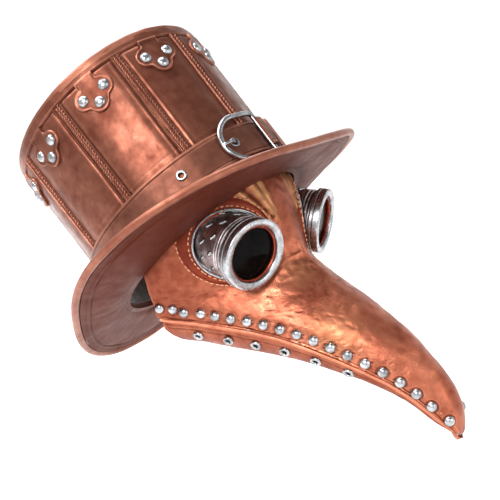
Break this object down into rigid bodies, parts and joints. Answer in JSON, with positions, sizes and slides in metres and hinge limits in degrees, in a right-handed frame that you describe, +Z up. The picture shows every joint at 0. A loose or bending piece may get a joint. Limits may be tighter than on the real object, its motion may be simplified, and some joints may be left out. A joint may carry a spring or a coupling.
{
  "type": "plague doctor mask",
  "caption": "Long-beaked leather costume mask with round goggles, worn under a paneled leather top hat with a buckled band and a riveted crown.",
  "frame": {"origin": "centre of the hat's head opening, where the wearer's head passes into the hat", "axes": "+X to the wearer's left, -Y forwards along the beak, +Z up; the hat leans back by 45 degrees"},
  "size_m": [0.2948, 0.4133, 0.3096],
  "materials": {
    "hat_leather": "semi-gloss brown leather with copper highlights",
    "brim_leather": "semi-gloss copper-brown leather",
    "band_leather": "worn brown strap leather",
    "mask_leather": "metallic copper-orange waxed leather",
    "patch_leather": "dark red leather, stitched",
    "lining_cloth": "dark woven lining",
    "bright_silver": "brushed nickel silver",
    "worn_gunmetal": "weathered gunmetal silver paint",
    "copper_ring": "satin copper-red",
    "smoked_lens": "glossy black smoked glass"
  },
  "bodies": {
    "root": {"band_eyelet_1": "bright_silver", "band_eyelet_2": "bright_silver", "brim": "brim_leather", "brim_edge_roll": "brim_leather", "crown_lid": "hat_leather", "crown_wall": "hat_leather", "eye_patch_left": "patch_leather", "eye_patch_right": "patch_leather", "face_shell": "mask_leather", "goggle_barrel_left": "worn_gunmetal", "goggle_barrel_right": "worn_gunmetal", "hat_band": "band_leather", "jaw_eyelet_left_1": "bright_silver", "jaw_eyelet_left_2": "bright_silver", "jaw_eyelet_left_3": "bright_silver", "jaw_eyelet_left_4": "bright_silver", "jaw_eyelet_left_5": "bright_silver", "jaw_eyelet_left_6": "bright_silver", "jaw_eyelet_right_1": "bright_silver", "jaw_eyelet_right_2": "bright_silver", "jaw_eyelet_right_3": "bright_silver", "jaw_eyelet_right_4": "bright_silver", "jaw_eyelet_right_5": "bright_silver", "jaw_eyelet_right_6": "bright_silver", "jaw_panel": "mask_leather", "lens_left": "smoked_lens", "lens_right": "smoked_lens", "retaining_ring_left": "copper_ring", "retaining_ring_right": "copper_ring", "seam_piping": "mask_leather", "seam_strip_1": "hat_leather", "seam_strip_2": "hat_leather", "seam_strip_3": "hat_leather", "seam_strip_4": "hat_leather", "seam_strip_5": "hat_leather", "seam_strip_6": "hat_leather", "seam_strip_7": "hat_leather", "seam_strip_8": "hat_leather", "seam_strip_9": "hat_leather", "seam_strip_10": "hat_leather", "strap_end": "band_leather", "strap_keeper": "band_leather", "sweatband": "lining_cloth", "trefoil_tab_1": "hat_leather", "trefoil_tab_2": "hat_leather", "trefoil_tab_3": "hat_leather", "trefoil_tab_4": "hat_leather", "trefoil_tab_5": "hat_leather", "trefoil_tab_6": "hat_leather", "trefoil_tab_7": "hat_leather", "trefoil_tab_8": "hat_leather", "trefoil_tab_9": "hat_leather", "trefoil_tab_10": "hat_leather"},
    "buckle_frame": {"buckle_frame": "bright_silver"},
    "buckle_prong": {"buckle_prong": "bright_silver"},
    "bezel_left": {"goggle_bezel_left": "bright_silver"},
    "bezel_right": {"goggle_bezel_right": "bright_silver"}
  },
  "joints": [
    {"name": "buckle_swing", "type": "hinge", "parent": "root", "child": "buckle_frame", "pos_m": [0.01474, -0.0515, 0.09464], "axis": [0, 0.7071, 0.7071], "range_deg": [0, 25]},
    {"name": "prong_lift", "type": "hinge", "parent": "buckle_frame", "child": "buckle_prong", "pos_m": [-0.03373, -0.04745, 0.09059], "axis": [0, -0.7071, -0.7071], "range_deg": [0, 80]},
    {"name": "bezel_turn_left", "type": "hinge", "parent": "root", "child": "bezel_left", "pos_m": [0.0529, -0.0866, 0.0141], "axis": [0.2508, -0.9629, -0.0993], "range_deg": [0, 90]},
    {"name": "bezel_turn_right", "type": "hinge", "parent": "root", "child": "bezel_right", "pos_m": [-0.0529, -0.0866, 0.0141], "axis": [-0.2508, -0.9629, -0.0993], "range_deg": [-90, 0]}
  ]
}
